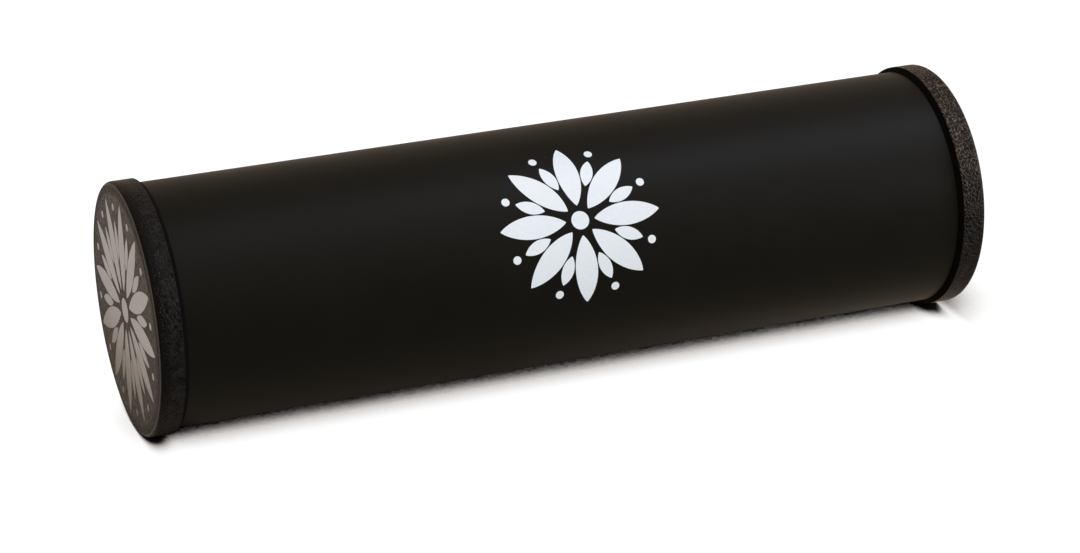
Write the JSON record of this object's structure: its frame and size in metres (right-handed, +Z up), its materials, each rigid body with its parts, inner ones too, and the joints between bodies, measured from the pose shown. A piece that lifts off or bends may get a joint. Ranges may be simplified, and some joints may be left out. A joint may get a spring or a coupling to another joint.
{
  "type": "ganza shaker",
  "caption": "Handheld tube shaker lying on its side: a capped black plastic tube in which loose steel shot slides from end to end and rolls round the bore.",
  "frame": {"origin": "centre of the shaker's footprint, on the surface that it lies on", "axes": "+X along the tube, towards the cap that the picture shows on the right; +Z up; the picture is taken from -Y"},
  "size_m": [0.206, 0.0594, 0.0594],
  "materials": {
    "tube_plastic": "satin black, extruded",
    "cap_plastic": "fine moulded grain, black",
    "cement": "cured solvent cement",
    "shot_steel": "plain rolled steel balls",
    "print_ink": "pad-printed ornament"
  },
  "bodies": {
    "shell": {"tube": "tube_plastic", "left_cap": "cap_plastic", "right_cap": "cap_plastic", "left_bond": "cement", "right_bond": "cement"},
    "shot_low_1": {"shot_low_1": "shot_steel"},
    "shot_low_2": {"shot_low_2": "shot_steel"},
    "shot_low_3": {"shot_low_3": "shot_steel"},
    "shot_mid_1": {"shot_mid_1": "shot_steel"},
    "shot_mid_2": {"shot_mid_2": "shot_steel"},
    "shot_mid_3": {"shot_mid_3": "shot_steel"},
    "shot_mid_4": {"shot_mid_4": "shot_steel"},
    "shot_mid_5": {"shot_mid_5": "shot_steel"},
    "shot_mid_6": {"shot_mid_6": "shot_steel"},
    "shot_top_1": {"shot_top_1": "shot_steel"},
    "shot_top_2": {"shot_top_2": "shot_steel"},
    "shot_top_3": {"shot_top_3": "shot_steel"},
    "shot_top_4": {"shot_top_4": "shot_steel"},
    "shot_top_5": {"shot_top_5": "shot_steel"},
    "shot_top_6": {"shot_top_6": "shot_steel"},
    "shot_top_7": {"shot_top_7": "shot_steel"}
  },
  "joints": [
    {"name": "shot_swing", "type": "hinge", "parent": "shell", "child": "shot_low_2", "pos_m": [0, 0, 0.02971], "axis": [1, 0, 0], "continuous": true},
    {"name": "shot_low_1_slide", "type": "slide", "parent": "shot_low_2", "child": "shot_low_1", "axis": [1, 0, 0], "range_m": [-0.0535, 0.0535]},
    {"name": "shot_low_3_slide", "type": "slide", "parent": "shot_low_2", "child": "shot_low_3", "axis": [1, 0, 0], "range_m": [-0.0535, 0.0535]},
    {"name": "shot_mid_1_slide", "type": "slide", "parent": "shot_low_2", "child": "shot_mid_1", "axis": [1, 0, 0], "range_m": [-0.0606, 0.0606]},
    {"name": "shot_mid_2_slide", "type": "slide", "parent": "shot_low_2", "child": "shot_mid_2", "axis": [1, 0, 0], "range_m": [-0.0606, 0.0606]},
    {"name": "shot_mid_3_slide", "type": "slide", "parent": "shot_low_2", "child": "shot_mid_3", "axis": [1, 0, 0], "range_m": [-0.0666, 0.0666]},
    {"name": "shot_mid_4_slide", "type": "slide", "parent": "shot_low_2", "child": "shot_mid_4", "axis": [1, 0, 0], "range_m": [-0.0666, 0.0666]},
    {"name": "shot_mid_5_slide", "type": "slide", "parent": "shot_low_2", "child": "shot_mid_5", "axis": [1, 0, 0], "range_m": [-0.0606, 0.0606]},
    {"name": "shot_mid_6_slide", "type": "slide", "parent": "shot_low_2", "child": "shot_mid_6", "axis": [1, 0, 0], "range_m": [-0.0606, 0.0606]},
    {"name": "shot_top_1_slide", "type": "slide", "parent": "shot_low_2", "child": "shot_top_1", "axis": [1, 0, 0], "range_m": [-0.0725, 0.0725]},
    {"name": "shot_top_2_slide", "type": "slide", "parent": "shot_low_2", "child": "shot_top_2", "axis": [1, 0, 0], "range_m": [-0.0785, 0.0785]},
    {"name": "shot_top_3_slide", "type": "slide", "parent": "shot_low_2", "child": "shot_top_3", "axis": [1, 0, 0], "range_m": [-0.0785, 0.0785]},
    {"name": "shot_top_4_slide", "type": "slide", "parent": "shot_low_2", "child": "shot_top_4", "axis": [1, 0, 0], "range_m": [-0.0785, 0.0785]},
    {"name": "shot_top_5_slide", "type": "slide", "parent": "shot_low_2", "child": "shot_top_5", "axis": [1, 0, 0], "range_m": [-0.0785, 0.0785]},
    {"name": "shot_top_6_slide", "type": "slide", "parent": "shot_low_2", "child": "shot_top_6", "axis": [1, 0, 0], "range_m": [-0.0785, 0.0785]},
    {"name": "shot_top_7_slide", "type": "slide", "parent": "shot_low_2", "child": "shot_top_7", "axis": [1, 0, 0], "range_m": [-0.0725, 0.0725]}
  ]
}
